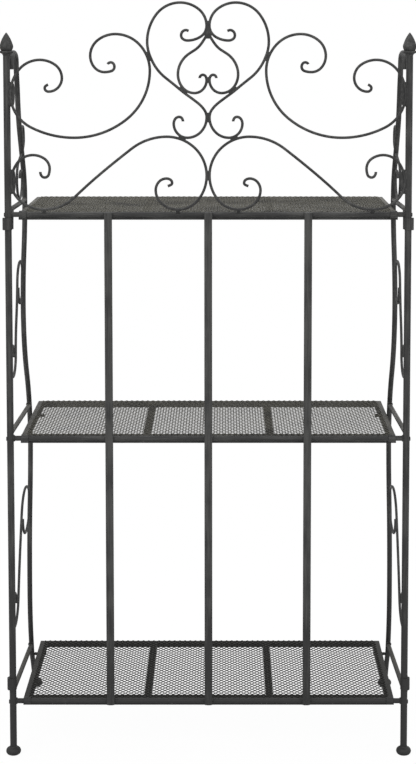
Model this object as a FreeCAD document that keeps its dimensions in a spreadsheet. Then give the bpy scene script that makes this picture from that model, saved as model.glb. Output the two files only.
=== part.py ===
"""Folding bakers rack: a scrolled back frame, two hinged side frames and three mesh shelves.

Frame: +Z up, the scrolled back on the -Y side, the open front on the +Y side.
The origin is on the floor, in the middle of the rack's four feet. Lengths are in millimetres.
"""
import FreeCAD, Part
import Sketcher
import math
import os

from FreeCAD import Placement, Rotation, Vector

doc = FreeCAD.newDocument("BakersRack")

# Driving sizes
SIZES = {
    "overall_height": 1412.0,
    "post_spacing": 735.0,
    "foot_reach": 358.0,
    "toe_in_angle": 1.5,
    "lean_angle": 0.5,
    # back frame
    "post_dia": 12.7,
    "post_wall": 1.5,
    "post_drop": 99.0,
    "rail_dia": 9.5,
    "rail_setback": 3.5,
    "bottom_rail_height": 102.0,
    "bar_width": 14.5,
    "bar_thickness": 5.0,
    "bar_edge_radius": 1.6,
    "bar_overlap": 4.0,
    # finials and feet
    "finial_height": 42.0,
    "finial_dia": 26.4,
    "finial_plug_length": 18.0,
    "foot_dia": 28.0,
    "foot_height": 17.0,
    # scrollwork
    "scroll_dia": 5.0,
    "scroll_setback": 5.5,
    "crown_clearance": 10.0,
    "weld_gap": 0.2,
    # side frames
    "leg_dia": 10.0,
    "leg_drop": 94.0,
    "leg_hook_reach": 46.0,
    "leg_hook_drop": 30.0,
    "leg_hook_gap": 2.0,
    "leg_shoulder_reach": 83.0,
    "leg_shoulder_drop": 22.0,
    "leg_throat_reach": 98.0,
    "leg_throat_drop": 75.0,
    "leg_neck_reach": 128.0,
    "leg_neck_drop": 150.0,
    "leg_top_reach": 199.0,
    "leg_upper_waist_reach": 174.0,
    "leg_belly_reach": 280.0,
    "leg_lower_waist_reach": 266.0,
    "leg_bottom_reach": 288.0,
    "leg_kick_reach": 306.0,
    "leg_kick_height": 82.0,
    "foot_socket_offset": 3.0,
    "foot_socket_height": 9.0,
    "side_bar_dia": 9.0,
    "side_bar_rise": 9.0,
    "bar_bend_radius": 11.0,
    "sleeve_wall": 2.4,
    "sleeve_offset": 1.6,
    "sleeve_length": 22.0,
    "sleeve_play": 0.08,
    "top_sleeve_drop": 6.0,
    "bottom_sleeve_rise": 24.0,
    "upper_scroll_height": 84.0,
    "upper_scroll_clearance": 2.019235,
    "front_curl_height": 52.0,
    "front_curl_width": 34.0,
    "middle_scroll_height": 206.0,
    "lower_scroll_height": 231.0,
    "swing_gap": 0.4,
    "pin_dia": 6.0,
    "pin_length": 24.0,
    "pin_gap": 0.3,
    # shelves
    "shelf_side_gap": 18.0,
    "shelf_depth": 323.0,
    "rim_height": 13.4,
    "rim_flange": 17.0,
    "rim_wall": 2.4,
    "rim_edge_radius": 2.0,
    "mesh_thickness": 1.4,
    "mesh_drop": 0.45,
    "mesh_margin": 3.0,
    "mesh_border": 15.0,
    "mesh_strand": 4.0,
    "mesh_pitch_x": 54.0,
    "mesh_pitch_y": 66.0,
    "slat_width": 14.0,
    "slat_thickness": 3.0,
    "slat_spacing": 230.0,
    "knuckle_wall": 2.2,
    "knuckle_width": 13.0,
    "knuckle_inset": 2.0,
    "knuckle_play": 0.08,
    "knuckle_tail": 9.0,
}
sheet = doc.addObject("Spreadsheet::Sheet", "Sizes")
for row, (alias, value) in enumerate(SIZES.items(), start=1):
    sheet.set(f"A{row}", alias)
    sheet.set(f"B{row}", str(value))
    sheet.setAlias(f"B{row}", alias)
doc.recompute()


def size(alias):
    """A driving size read back from the sheet."""
    return float(sheet.get(alias))


# Places that several pieces share
post_radius = size("post_dia") / 2
rail_radius = size("rail_dia") / 2
scroll_radius = size("scroll_dia") / 2
leg_radius = size("leg_dia") / 2
gap = size("weld_gap")
post_x = size("post_spacing") / 2
toe_in = math.radians(size("toe_in_angle"))
post_y = -size("foot_reach") * math.cos(toe_in) / 2
rail_y = post_y + size("rail_setback")
shelf_width = size("post_spacing") - 2 * size("shelf_side_gap")

# The crown keeps its shape, so its rise is a share of the post spacing
CROWN_RISE_SHARE = 0.5306
# Share of the way from the bottom rail up to the top one
MIDDLE_RAIL_SHARE = 0.5457
top_rail = size("overall_height") - size("post_spacing") * CROWN_RISE_SHARE
bottom_rail = size("bottom_rail_height")
middle_rail = bottom_rail + (top_rail - bottom_rail) * MIDDLE_RAIL_SHARE
rail_heights = {"top": top_rail, "middle": middle_rail, "bottom": bottom_rail}
levels = list(rail_heights)
pieces = {}


def keep(label, thing):
    """Notes a finished sub-part under the name of its file."""
    thing.Label = label
    pieces[label] = thing
    return thing


def bind(thing, **expressions):
    """Ties an object's properties to the sheet; a double underscore stands for a dot."""
    for name, text in expressions.items():
        thing.setExpression(name.replace("__", "."), text)
    return thing


def cylinder(name, diameter, length, at, along=Vector(0, 0, 1)):
    """A round bar whose sizes and place are expressions on the sheet."""
    bar = doc.addObject("Part::Cylinder", name)
    bar.Placement = Placement(Vector(), Rotation(Vector(0, 0, 1), along))
    bind(bar, Radius=f"({diameter}) / 2", Height=length)
    bind(bar, Placement__Base__x=at[0], Placement__Base__y=at[1], Placement__Base__z=at[2])
    return bar


def box(name, lengths, at):
    """A block whose sizes and low corner are expressions on the sheet."""
    block = doc.addObject("Part::Box", name)
    bind(block, Length=lengths[0], Width=lengths[1], Height=lengths[2])
    bind(block, Placement__Base__x=at[0], Placement__Base__y=at[1], Placement__Base__z=at[2])
    return block


def cut(name, base, tool):
    """Base with the tool taken out of it."""
    result = doc.addObject("Part::Cut", name)
    result.Base = base
    result.Tool = tool
    return result


def fuse(name, base, tool):
    """Two solids made one."""
    result = doc.addObject("Part::Fuse", name)
    result.Base = base
    result.Tool = tool
    return result


def group(name, members):
    """Like solids that share one file."""
    result = doc.addObject("Part::Compound", name)
    result.Links = members
    return result


def mirror(label, source):
    """The same piece on the other side of the rack."""
    other = doc.addObject("Part::Mirroring", label)
    other.Source = source
    other.Normal = Vector(1, 0, 0)
    return keep(label, other)


def both_sides(name, left_piece):
    """Keeps a left piece and its mirror image on the right."""
    keep(f"left_{name}", left_piece)
    mirror(f"right_{name}", left_piece)


# Expressions for the shared places above
POST_X = "Sizes.post_spacing / 2"
POST_Y = "-Sizes.foot_reach * cos(Sizes.toe_in_angle * 1deg) / 2"
RAIL_Y = f"({POST_Y} + Sizes.rail_setback)"
POST_TOP = "(Sizes.overall_height - Sizes.post_drop)"
TOP_RAIL = f"(Sizes.overall_height - Sizes.post_spacing * {CROWN_RISE_SHARE})"
BOTTOM_RAIL = "Sizes.bottom_rail_height"
MIDDLE_RAIL = f"({BOTTOM_RAIL} + ({TOP_RAIL} - {BOTTOM_RAIL}) * {MIDDLE_RAIL_SHARE})"
RAIL_Z = {"top": TOP_RAIL, "middle": MIDDLE_RAIL, "bottom": BOTTOM_RAIL}
LEG_X = (f"(-{POST_X} + Sizes.foot_reach * sin(Sizes.toe_in_angle * 1deg)"
         f" - ({MIDDLE_RAIL} - Sizes.foot_height / 2) * sin(Sizes.lean_angle * 1deg))")
SHELF_WIDTH = "(Sizes.post_spacing - 2 * Sizes.shelf_side_gap)"
ACROSS = Vector(1, 0, 0)


# Bent rods: tangent arcs through stations, each with the heading of the rod there
def heading(degrees):
    """Unit vector in the drawing plane; 0 is right and 90 is up."""
    return Vector(math.cos(math.radians(degrees)), math.sin(math.radians(degrees)), 0)


def arc_edge(start, end, tangent):
    """The arc, or straight run, that leaves start along tangent and reaches end."""
    chord = end - start
    lean = math.atan2(chord.cross(tangent).z, chord.dot(tangent))
    if abs(lean) < 1e-6:
        return Part.LineSegment(start, end).toShape()
    side = Vector(-chord.y, chord.x, 0)
    crown = (start + end) * 0.5 + side * (0.5 * math.tan(lean / 2))
    return Part.Arc(start, crown, end).toShape()


def turned(tangent, chord):
    """Heading at the far end of an arc: the first heading mirrored in the chord."""
    along = chord.normalize()
    return along * (2 * tangent.dot(along)) - tangent


def joint_of_arcs(start, first, end, last):
    """Point where two arcs of equal tangent length meet between two stations."""
    span = end - start
    both = first + last
    spread = 2 * (1 - first.dot(last))
    if spread < 1e-9:
        reach = span.dot(span) / (4 * span.dot(last))
    else:
        pull = span.dot(both)
        reach = (math.sqrt(pull * pull + 2 * spread * span.dot(span) / 2) - pull) / spread
    return (start + end + (first - last) * reach) * 0.5


def rod_path(stations):
    """A smooth flat path through (across, up, heading) stations."""
    edges = []
    for (x0, y0, h0), (x1, y1, h1) in zip(stations, stations[1:]):
        start, end = Vector(x0, y0, 0), Vector(x1, y1, 0)
        first, last = heading(h0), heading(h1)
        middle = joint_of_arcs(start, first, end, last)
        edges.append(arc_edge(start, middle, first))
        edges.append(arc_edge(middle, end, turned(first, middle - start)))
    return Part.Wire(edges)


def rod_solid(path, diameter):
    """A round rod bent along a path."""
    first_edge = path.OrderedEdges[0]
    start = first_edge.valueAt(first_edge.FirstParameter)
    tangent = first_edge.tangentAt(first_edge.FirstParameter)
    section = Part.Face(Part.Wire(Part.makeCircle(diameter / 2, start, tangent)))
    return path.makePipe(section)


def upright(solid, origin):
    """Stands a flat drawing up in the plane of the back frame."""
    copy = solid.copy()
    copy.Placement = Placement(origin, Rotation(Vector(1, 0, 0), 90))
    return copy


def feature(name, shape):
    """A document object that holds a worked-out shape."""
    thing = doc.addObject("Part::Feature", name)
    thing.Shape = shape
    return thing


# Turned pieces: each share is a radius and a height on the half outline, and how far the stretch after it
# swells out, or hollows in where it is below zero
FINIAL_SHARES = [
    (0.0, 0.0, 0), (0.481, 0.0, -0.35), (0.93, 0.12, 0.5), (0.93, 0.21, 0), (0.742, 0.225, 0.3),
    (0.85, 0.53, 0.09), (0.06, 1.0, 0), (0.0, 1.0, 0),
]
FOOT_SHARES = [(0.0, 0.0, 0), (0.6, 0.0, 0.8), (0.6, 0.82, -0.25), (0.475, 1.0, 0), (0.0, 1.0, 0)]


def turned_edge(start, end, swell):
    """One stretch of a half outline: straight or an arc."""
    if not swell:
        return Part.LineSegment(start, end)
    chord = end - start
    centre = (start + end) * 0.5 + Vector(-chord.y, chord.x, 0) * ((1 - swell ** 2) / (4 * swell))
    ends = (start, end) if swell > 0 else (end, start)
    first, last = [math.atan2(point.y - centre.y, point.x - centre.x) for point in ends]
    if last < first:
        last += 2 * math.pi
    return Part.ArcOfCircle(Part.Circle(centre, Vector(0, 0, 1), (start - centre).Length), first, last)


def turned_body(name, width, height, shares):
    """A piece turned round its upright axis, from shares of a diameter and a height on the sheet."""
    body = doc.addObject("PartDesign::Body", name)
    sketch = body.newObject("Sketcher::SketchObject", f"{name}_outline")
    plane = next(f for f in body.Origin.OriginFeatures if f.Role == "XZ_Plane")
    sketch.AttachmentSupport = [(plane, "")]
    sketch.MapMode = "FlatFace"
    points = [Vector(size(width) / 2 * u, size(height) * w, 0) for u, w, _ in shares]
    across = [f"Sizes.{width} / 2 * {u}" for u, _, _ in shares]
    up = [f"Sizes.{height} * {w}" for _, w, _ in shares]
    swells = [swell for _, _, swell in shares]
    after = [(i + 1) % len(shares) for i in range(len(shares))]
    starts = [2 if swell < 0 else 1 for swell in swells]
    for i, swell in enumerate(swells):
        sketch.addGeometry(turned_edge(points[i], points[after[i]], swell), False)
    for i, start in enumerate(starts):
        sketch.addConstraint(Sketcher.Constraint("Coincident", i, 3 - start, after[i], starts[after[i]]))
    for i, swell in enumerate(swells):
        places = [("DistanceX", points[i].x, across[i]), ("DistanceY", points[i].y, up[i])]
        for kind, value, text in places:
            number = sketch.addConstraint(Sketcher.Constraint(kind, -1, 1, i, starts[i], value))
            sketch.setExpression(f"Constraints[{number}]", text)
        if swell:
            share = (1 + swell ** 2) / (4 * abs(swell))
            chord = f"sqrt(({across[after[i]]} - {across[i]}) ^ 2 + ({up[after[i]]} - {up[i]}) ^ 2)"
            radius = (points[after[i]] - points[i]).Length * share
            number = sketch.addConstraint(Sketcher.Constraint("Radius", i, radius))
            sketch.setExpression(f"Constraints[{number}]", f"{chord} * {share}")
    turn = body.newObject("PartDesign::Revolution", f"{name}_turned")
    turn.Profile = sketch
    turn.ReferenceAxis = (sketch, ["V_Axis"])
    turn.Angle = 360
    return body


# Back posts
def back_post():
    length = f"{POST_TOP} - Sizes.foot_height"
    place = (f"-{POST_X}", POST_Y, "Sizes.foot_height")
    outer = cylinder("post_tube", "Sizes.post_dia", length, place)
    bore = cylinder("post_bore", "Sizes.post_dia - 2 * Sizes.post_wall", length, place)
    both_sides("back_post", cut("left_post", outer, bore))


# Spear finials, plugged into the post tops
def finial():
    bud = turned_body("finial_bud", "finial_dia", "finial_height", FINIAL_SHARES)
    bind(bud, Placement__Base__x=f"-{POST_X}", Placement__Base__y=POST_Y, Placement__Base__z=POST_TOP)
    plug = cylinder("finial_plug", "Sizes.post_dia - 2 * Sizes.post_wall", "Sizes.finial_plug_length",
                    (f"-{POST_X}", POST_Y, f"{POST_TOP} - Sizes.finial_plug_length"))
    both_sides("finial", fuse("finial_left", bud, plug))


# Bun feet, flat underneath, with a short neck
def bun_foot(name, x, y):
    bun = turned_body(name, "foot_dia", "foot_height", FOOT_SHARES)
    bind(bun, Placement__Base__x=x, Placement__Base__y=y)
    return bun


# Cross rails between the posts
def rails():
    length = "Sizes.post_spacing - Sizes.post_dia - 2 * Sizes.weld_gap"
    for level in levels:
        start = f"-({length}) / 2"
        rail = cylinder(f"{level}_rail_bar", "Sizes.rail_dia", length,
                        (start, RAIL_Y, RAIL_Z[level]), ACROSS)
        keep(f"{level}_rail", rail)


# Flat upright bars, welded to the back of the rails at shares of the post spacing
BAR_PLACE_SHARES = {"left": -0.25, "centre": 0.0, "right": 0.25}


def back_bars():
    low = f"({BOTTOM_RAIL} - Sizes.rail_dia / 2)"
    high = f"({TOP_RAIL} + Sizes.bar_overlap)"
    front = f"({RAIL_Y} - Sizes.rail_dia / 2 - Sizes.weld_gap)"
    for name, share in BAR_PLACE_SHARES.items():
        middle = f"Sizes.post_spacing * {share}"
        flat = box(f"{name}_bar_flat", ("Sizes.bar_width", "Sizes.bar_thickness", f"{high} - {low}"),
                   (f"{middle} - Sizes.bar_width / 2", f"{front} - Sizes.bar_thickness", low))
        doc.recompute()
        rounded = doc.addObject("Part::Fillet", f"{name}_bar_rounded")
        rounded.Base = flat
        long_edges = [i for i, e in enumerate(flat.Shape.Edges, start=1) if abs(e.tangentAt(0).z) > 0.9]
        radius = size("bar_edge_radius")
        rounded.Edges = [(i, radius, radius) for i in long_edges]
        keep(f"{name}_back_bar", rounded)


# Crown scrollwork: shares of the way from the middle line to the post, and from its foot to its top
OUTER_SCROLL_SHARES = [
    (0.808, 0.606, 205), (0.825, 0.589, 270), (0.805, 0.572, 0), (0.737, 0.638, 90), (0.849, 0.725, 180),
    (1.000, 0.559, 270), (0.677, 0.349, 0), (0.289, 0.673, 90), (0.464, 0.849, 180), (0.592, 0.744, 270),
    (0.519, 0.666, 0), (0.469, 0.692, 90), (0.488, 0.713, 180), (0.503, 0.704, 245),
]
HEART_ROD_SHARES = [
    (0.091, 0.864, 160), (0.105, 0.868, 180), (0.1295, 0.843, 270), (0.097, 0.818, 0), (0.000, 0.889, 90),
    (0.134, 1.000, 180), (0.302, 0.812, 270), (0.267, 0.702, 300), (0.138, 0.584, 320), (0.046, 0.518, 322),
    (0.000, 0.447, 270), (0.099, 0.349, 180), (0.168, 0.417, 90), (0.140, 0.450, 0), (0.121, 0.428, 270),
]
PEAR_SCROLL_SHARES = [
    (0.003, 0.838, 240), (0.040, 0.788, 226), (0.087, 0.756, 213), (0.146, 0.655, 270), (0.062, 0.565, 0),
    (0.000, 0.628, 90), (0.019, 0.653, 180), (0.035, 0.637, 270),
]
LOWER_SCROLL_SHARES = [
    (0.851, 0.183, 270), (0.829, 0.156, 0), (0.803, 0.199, 90), (0.888, 0.265, 180), (1.000, 0.135, 270),
    (0.835, 0.000, 0), (0.538, 0.178, 40), (0.204, 0.354, 0), (0.000, 0.165, 270), (0.148, 0.000, 180),
    (0.261, 0.094, 90), (0.206, 0.151, 0), (0.177, 0.130, 270), (0.199, 0.114, 200),
]
CROWN_RODS = {
    "outer_scroll": OUTER_SCROLL_SHARES,
    "heart_rod": HEART_ROD_SHARES,
    "pear_scroll": PEAR_SCROLL_SHARES,
    "lower_scroll": LOWER_SCROLL_SHARES,
}


def crown():
    touch = post_radius + scroll_radius + gap
    inner = scroll_radius + gap / 2
    outer = post_x - math.sqrt(touch ** 2 - size("scroll_setback") ** 2)
    low = rail_heights["top"] + size("crown_clearance")
    high = size("overall_height") - scroll_radius
    back = Vector(0, post_y - size("scroll_setback"), 0)
    for name, shares in CROWN_RODS.items():
        stations = [(-inner - u * (outer - inner), low + w * (high - low), h) for u, w, h in shares]
        rod = upright(rod_solid(rod_path(stations), size("scroll_dia")), back)
        both_sides(name, feature(f"{name}_left", rod))


# Side frames, drawn flat: forward from the post, and up
def side_placed(shape):
    """Stands a side frame's drawing at the left post, toed in and leaning in towards the shelves."""
    pivot = Vector(0, 0, rail_heights["middle"])
    lean = Rotation(Vector(0, 1, 0), size("lean_angle"))
    toe = Rotation(Vector(0, 0, 1), -size("toe_in_angle"))
    stand = Rotation(Vector(0, 0, 1), 90) * Rotation(Vector(1, 0, 0), 90)
    turn = toe * lean
    base = Vector(-post_x, post_y, 0) + pivot - turn.multVec(pivot)
    copy = shape.copy()
    copy.Placement = Placement(base, turn * stand)
    return copy


leg_top = size("overall_height") - size("leg_drop")

# Shares of the way up from one rail to the next where the leg is nearest and farthest
UPPER_WAIST_SHARE = 0.58
BELLY_SHARE = 0.83
LOWER_WAIST_SHARE = 0.43


def between_rails(low, high, share):
    """A height between two rails."""
    return rail_heights[low] + (rail_heights[high] - rail_heights[low]) * share


def leg_path():
    """From the hook beside the post, over the top, down past the shelves and out to the foot."""
    top = leg_top
    hook = post_radius + leg_radius + size("leg_hook_gap")
    stations = [
        (hook, top - size("leg_hook_drop"), 90),
        (size("leg_hook_reach"), top, 0),
        (size("leg_shoulder_reach"), top - size("leg_shoulder_drop"), 273),
        (size("leg_throat_reach"), top - size("leg_throat_drop"), 284),
        (size("leg_neck_reach"), top - size("leg_neck_drop"), 304),
        (size("leg_top_reach"), rail_heights["top"], 270),
        (size("leg_upper_waist_reach"), between_rails("middle", "top", UPPER_WAIST_SHARE), 270),
        (size("leg_belly_reach"), between_rails("bottom", "middle", BELLY_SHARE), 270),
        (size("leg_lower_waist_reach"), between_rails("bottom", "middle", LOWER_WAIST_SHARE), 270),
        (size("leg_bottom_reach"), rail_heights["bottom"] + size("bottom_sleeve_rise"), 288),
        (size("leg_kick_reach"), size("leg_kick_height"), 308),
        (size("foot_reach") - size("foot_socket_offset"), size("foot_socket_height"), 308),
    ]
    return rod_path(stations)


def reach_at(path, height):
    """How far forward a path is where it last crosses a height on its way down."""
    points = path.discretize(Distance=leg_radius / 4)
    for a, b in zip(reversed(points[:-1]), reversed(points[1:])):
        if min(a.y, b.y) <= height <= max(a.y, b.y):
            return a.x + (b.x - a.x) * (height - a.y) / (b.y - a.y)
    raise ValueError("the path does not cross that height")


SIDE_SCROLL_SHARES = [
    (0.62, 0.77, 270), (0.77, 0.61, 0), (1.00, 0.81, 90), (0.77, 1.00, 180), (0.45, 0.50, 252),
    (0.18, 0.00, 180), (0.00, 0.15, 90), (0.14, 0.29, 0), (0.26, 0.17, 270),
]


# Shares of a bay's spare height that are left under its scroll
SCROLL_RISE_SHARES = {"middle": 0.514, "lower": 0.465}

# Under the top of the side frame the S is cut where it crosses the leg: a loop behind it and a curl before it
LOOP_SHARES = [
    (0.93, 1.00, 200), (0.53, 0.50, 270), (0.77, 0.00, 0), (1.00, 0.38, 90), (0.87, 0.62, 180),
    (0.78, 0.46, 270),
]
FRONT_CURL_SHARES = [
    (0.40, 0.00, 55), (0.97, 0.50, 90), (0.42, 1.00, 180), (0.00, 0.72, 270), (0.28, 0.50, 0),
]
FRONT_CURL_RISE_SHARE = 0.345


def seated(path_at, spare):
    """A rod moved towards the leg until a weld gap is left between them."""
    reach = 0
    step_share = 0.7
    for _ in range(12):
        reach += (spare(path_at(reach)) - gap) * step_share
    return rod_solid(path_at(reach), size("scroll_dia"))


def front_curl(base, leg, spare):
    """A small curl that stands on the front of the leg."""
    clear = reach_at(leg, base) + 2 * (leg_radius + scroll_radius)
    width, height = size("front_curl_width"), size("front_curl_height")

    def path_at(reach):
        return rod_path([(clear - reach + u * width, base + w * height, h) for u, w, h in FRONT_CURL_SHARES])

    return seated(path_at, spare)


def side_scroll(base, height, leg, shares, spare):
    """A scroll that clears the post and is seated on the leg."""
    start = post_radius + scroll_radius + size("swing_gap")
    clear = reach_at(leg, base + height) - start - 2 * (leg_radius + scroll_radius)

    def path_at(reach):
        return rod_path([(start + u * (clear + reach), base + w * height, h) for u, w, h in shares])

    return seated(path_at, spare)


def straight_bar(height, leg):
    """A side bar from just short of the post to the leg."""
    radius = size("side_bar_dia") / 2
    start = Vector(post_radius + size("swing_gap"), height, 0)
    end = Vector(bar_end(height, leg), height, 0)
    return Part.makeCylinder(radius, end.x - start.x, start, Vector(1, 0, 0))


def bar_end(height, leg):
    """Where a level bar stops against the leg."""
    radius = size("side_bar_dia") / 2
    slope = (reach_at(leg, height - radius) - reach_at(leg, height + radius)) / (2 * radius)
    nearest = min(reach_at(leg, height + part * radius) for part in (-1, 0, 1))
    return nearest - leg_radius * math.hypot(1, slope) - gap


def hinge_bar(height, sleeve_end, leg):
    """A side bar whose back end is bent along its hinge sleeve."""
    bend = size("bar_bend_radius")
    sleeve = post_radius + size("sleeve_play") + size("sleeve_wall")
    back = sleeve + gap + size("side_bar_dia") / 2
    way = 1 if sleeve_end < height else -1
    turn_start = Vector(back, height - way * bend, 0)
    turn_end = Vector(back + bend, height, 0)
    diagonal = bend * math.sqrt(0.5)
    turn_middle = Vector(back + bend - diagonal, height - way * (bend - diagonal), 0)
    path = Part.Wire([
        Part.LineSegment(Vector(back, sleeve_end, 0), turn_start).toShape(),
        Part.Arc(turn_start, turn_middle, turn_end).toShape(),
        Part.LineSegment(turn_end, Vector(bar_end(height, leg), height, 0)).toShape(),
    ])
    return rod_solid(path, size("side_bar_dia"))


def hinge_sleeves(sleeve_lows):
    """Two sleeves that turn on the post, thicker on the outer side."""
    bore = "Sizes.post_dia + 2 * Sizes.sleeve_play"
    members = []
    for level, low in sleeve_lows.items():
        wall = f"{bore} + 2 * Sizes.sleeve_wall"
        outer = cylinder(f"{level}_sleeve_wall", wall, "Sizes.sleeve_length",
                         (f"-{POST_X} - Sizes.sleeve_offset", POST_Y, low))
        inner = cylinder(f"{level}_sleeve_bore", bore, "Sizes.sleeve_length", (f"-{POST_X}", POST_Y, low))
        members.append(cut(f"{level}_sleeve", outer, inner))
    return group("sleeves_left", members)


def shelf_pins(leg):
    """Round pins on the leg that carry the shelf rims."""
    radius = size("pin_dia") / 2
    members = []
    for level in levels:
        height = rim_bottom(level) - size("pin_gap") - radius
        start = Vector(reach_at(leg, height), height, leg_radius + gap)
        members.append(Part.makeCylinder(radius, size("pin_length"), start, Vector(0, 0, 1)))
    return Part.makeCompound(members)


def rim_bottom(level):
    """Underside of a shelf's rim."""
    mesh_top = rail_heights[level] + rail_radius - size("mesh_drop")
    return mesh_top - size("mesh_thickness") - size("rim_height")


def side_frames():
    leg = leg_path()
    leg_rod = rod_solid(leg, size("leg_dia"))
    both_sides("front_leg", feature("leg_left", side_placed(leg_rod)))
    bar_heights = {level: rail_heights[level] + size("side_bar_rise") for level in levels}
    top_low = f"{TOP_RAIL} - Sizes.top_sleeve_drop - Sizes.sleeve_length"
    bottom_low = f"{BOTTOM_RAIL} + Sizes.bottom_sleeve_rise"
    top_end = rail_heights["top"] - size("top_sleeve_drop") - size("sleeve_length")
    bottom_end = rail_heights["bottom"] + size("bottom_sleeve_rise") + size("sleeve_length")
    bars = {
        "top": hinge_bar(bar_heights["top"], top_end, leg),
        "middle": straight_bar(bar_heights["middle"], leg),
        "bottom": hinge_bar(bar_heights["bottom"], bottom_end, leg),
    }
    for level, bar in bars.items():
        both_sides(f"{level}_bar", feature(f"{level}_bar_left", side_placed(bar)))
    bays = {
        "upper": (rail_heights["top"], leg_top),
        "middle": (rail_heights["middle"], rail_heights["top"]),
        "lower": (rail_heights["bottom"], rail_heights["middle"]),
    }
    def beside_leg(path):
        return path.distToShape(leg)[0] - leg_radius - scroll_radius

    def end_at_leg(path):
        return rod_solid(path, size("scroll_dia")).distToShape(leg_rod)[0]

    bar_top = bar_heights["top"] + size("side_bar_dia") / 2
    for bay, (low, high) in bays.items():
        height = size(f"{bay}_scroll_height")
        if bay == "upper":
            base = bar_top + size("upper_scroll_clearance") + scroll_radius
            loop = side_scroll(base, height, leg, LOOP_SHARES, end_at_leg)
            curl = front_curl(low + (high - low) * FRONT_CURL_RISE_SHARE, leg, end_at_leg)
            scroll = Part.makeCompound([loop, curl])
        else:
            base = low + (high - low - height) * SCROLL_RISE_SHARES[bay]
            scroll = side_scroll(base, height, leg, SIDE_SCROLL_SHARES, beside_leg)
        both_sides(f"{bay}_side_scroll", feature(f"{bay}_side_scroll_left", side_placed(scroll)))
    both_sides("shelf_pins", feature("pins_left", side_placed(shelf_pins(leg))))
    both_sides("hinge_sleeves", hinge_sleeves({"top": top_low, "bottom": bottom_low}))


# Mesh shelves, hinged on the rails
KNUCKLE_RADIUS = "(Sizes.rail_dia / 2 + Sizes.knuckle_play + Sizes.knuckle_wall)"
SHELF_BACK = f"({RAIL_Y} + {KNUCKLE_RADIUS})"


def shelf_rim(level, flange_top):
    """An angle-iron rim: a hanging wall all round and a flange that carries the mesh."""
    low = f"{flange_top} - Sizes.rim_height"
    outer = box(f"{level}_rim_block", (SHELF_WIDTH, "Sizes.shelf_depth", "Sizes.rim_height"),
                (f"-{SHELF_WIDTH} / 2", SHELF_BACK, low))
    hollow = box(f"{level}_rim_hollow",
                 (f"{SHELF_WIDTH} - 2 * Sizes.rim_wall", "Sizes.shelf_depth - 2 * Sizes.rim_wall",
                  "Sizes.rim_height - Sizes.rim_wall"),
                 (f"-{SHELF_WIDTH} / 2 + Sizes.rim_wall", f"{SHELF_BACK} + Sizes.rim_wall", low))
    window = box(f"{level}_rim_window",
                 (f"{SHELF_WIDTH} - 2 * Sizes.rim_flange", "Sizes.shelf_depth - 2 * Sizes.rim_flange",
                  "Sizes.rim_height"),
                 (f"-{SHELF_WIDTH} / 2 + Sizes.rim_flange", f"{SHELF_BACK} + Sizes.rim_flange", low))
    rim = cut(f"{level}_rim_open", cut(f"{level}_rim_tray", outer, hollow), window)
    doc.recompute()
    whole = rim.Shape.BoundBox
    radius = size("rim_edge_radius")
    edges = []
    for number, edge in enumerate(rim.Shape.Edges, start=1):
        middle = edge.BoundBox.Center
        from_ends = min(abs(middle.x - whole.XMin), abs(middle.x - whole.XMax))
        from_sides = min(abs(middle.y - whole.YMin), abs(middle.y - whole.YMax))
        if min(from_ends, from_sides) < gap and edge.BoundBox.ZMin > whole.ZMax - gap:
            edges.append((number, radius, radius))
    rounded = doc.addObject("Part::Fillet", f"{level}_rim_rounded")
    rounded.Base = rim
    rounded.Edges = edges
    return rounded


def diamond(x, y, half_x, half_y):
    """A four-sided gap in the mesh."""
    corners = [Vector(x - half_x, y, 0), Vector(x, y - half_y, 0)]
    corners += [Vector(x + half_x, y, 0), Vector(x, y + half_y, 0)]
    return Part.Wire(Part.makePolygon(corners + corners[:1]))


def mesh_sheet():
    """Expanded metal: one sheet with staggered diamond gaps, its back corner at the origin's middle."""
    width = shelf_width - 2 * size("mesh_margin")
    depth = size("shelf_depth") - 2 * size("mesh_margin")
    pitch_x, pitch_y = size("mesh_pitch_x"), size("mesh_pitch_y")
    open_x = width - 2 * size("mesh_border")
    open_y = depth - 2 * size("mesh_border")
    across, along = int(open_x // pitch_x), int(open_y // pitch_y)
    cell_x, cell_y = open_x / across, open_y / along
    half_x = cell_x / 2 * (1 - size("mesh_strand") / pitch_y * 2)
    half_y = cell_y / 2 * (1 - size("mesh_strand") / pitch_x * 2)
    gaps = []
    for row in range(2 * along - 1):
        shift = row % 2
        for column in range(across - shift):
            x = -open_x / 2 + cell_x * (column + 0.5 + shift / 2)
            y = (depth - open_y) / 2 + cell_y * (row + 1) / 2
            gaps.append(diamond(x, y, half_x, half_y))
    corners = [Vector(-width / 2, 0, 0), Vector(width / 2, 0, 0)]
    corners += [Vector(width / 2, depth, 0), Vector(-width / 2, depth, 0)]
    border = Part.Wire(Part.makePolygon(corners + corners[:1]))
    flat = Part.makeFace([border] + gaps, "Part::FaceMakerBullseye")
    return flat.extrude(Vector(0, 0, size("mesh_thickness")))


def shelf_slats(level, flange_top):
    """Two flat cross slats between the front and back walls of the rim, under the mesh."""
    length = "Sizes.shelf_depth - 2 * Sizes.rim_flange - 2 * Sizes.weld_gap"
    back = f"{SHELF_BACK} + Sizes.rim_flange + Sizes.weld_gap"
    low = f"{flange_top} - Sizes.slat_thickness"
    members = []
    for name, side in (("left", -1), ("right", 1)):
        start = f"{side} * Sizes.slat_spacing / 2 - Sizes.slat_width / 2"
        lengths = ("Sizes.slat_width", length, "Sizes.slat_thickness")
        members.append(box(f"{level}_{name}_slat", lengths, (start, back, low)))
    return group(f"{level}_slats", members)


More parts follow.
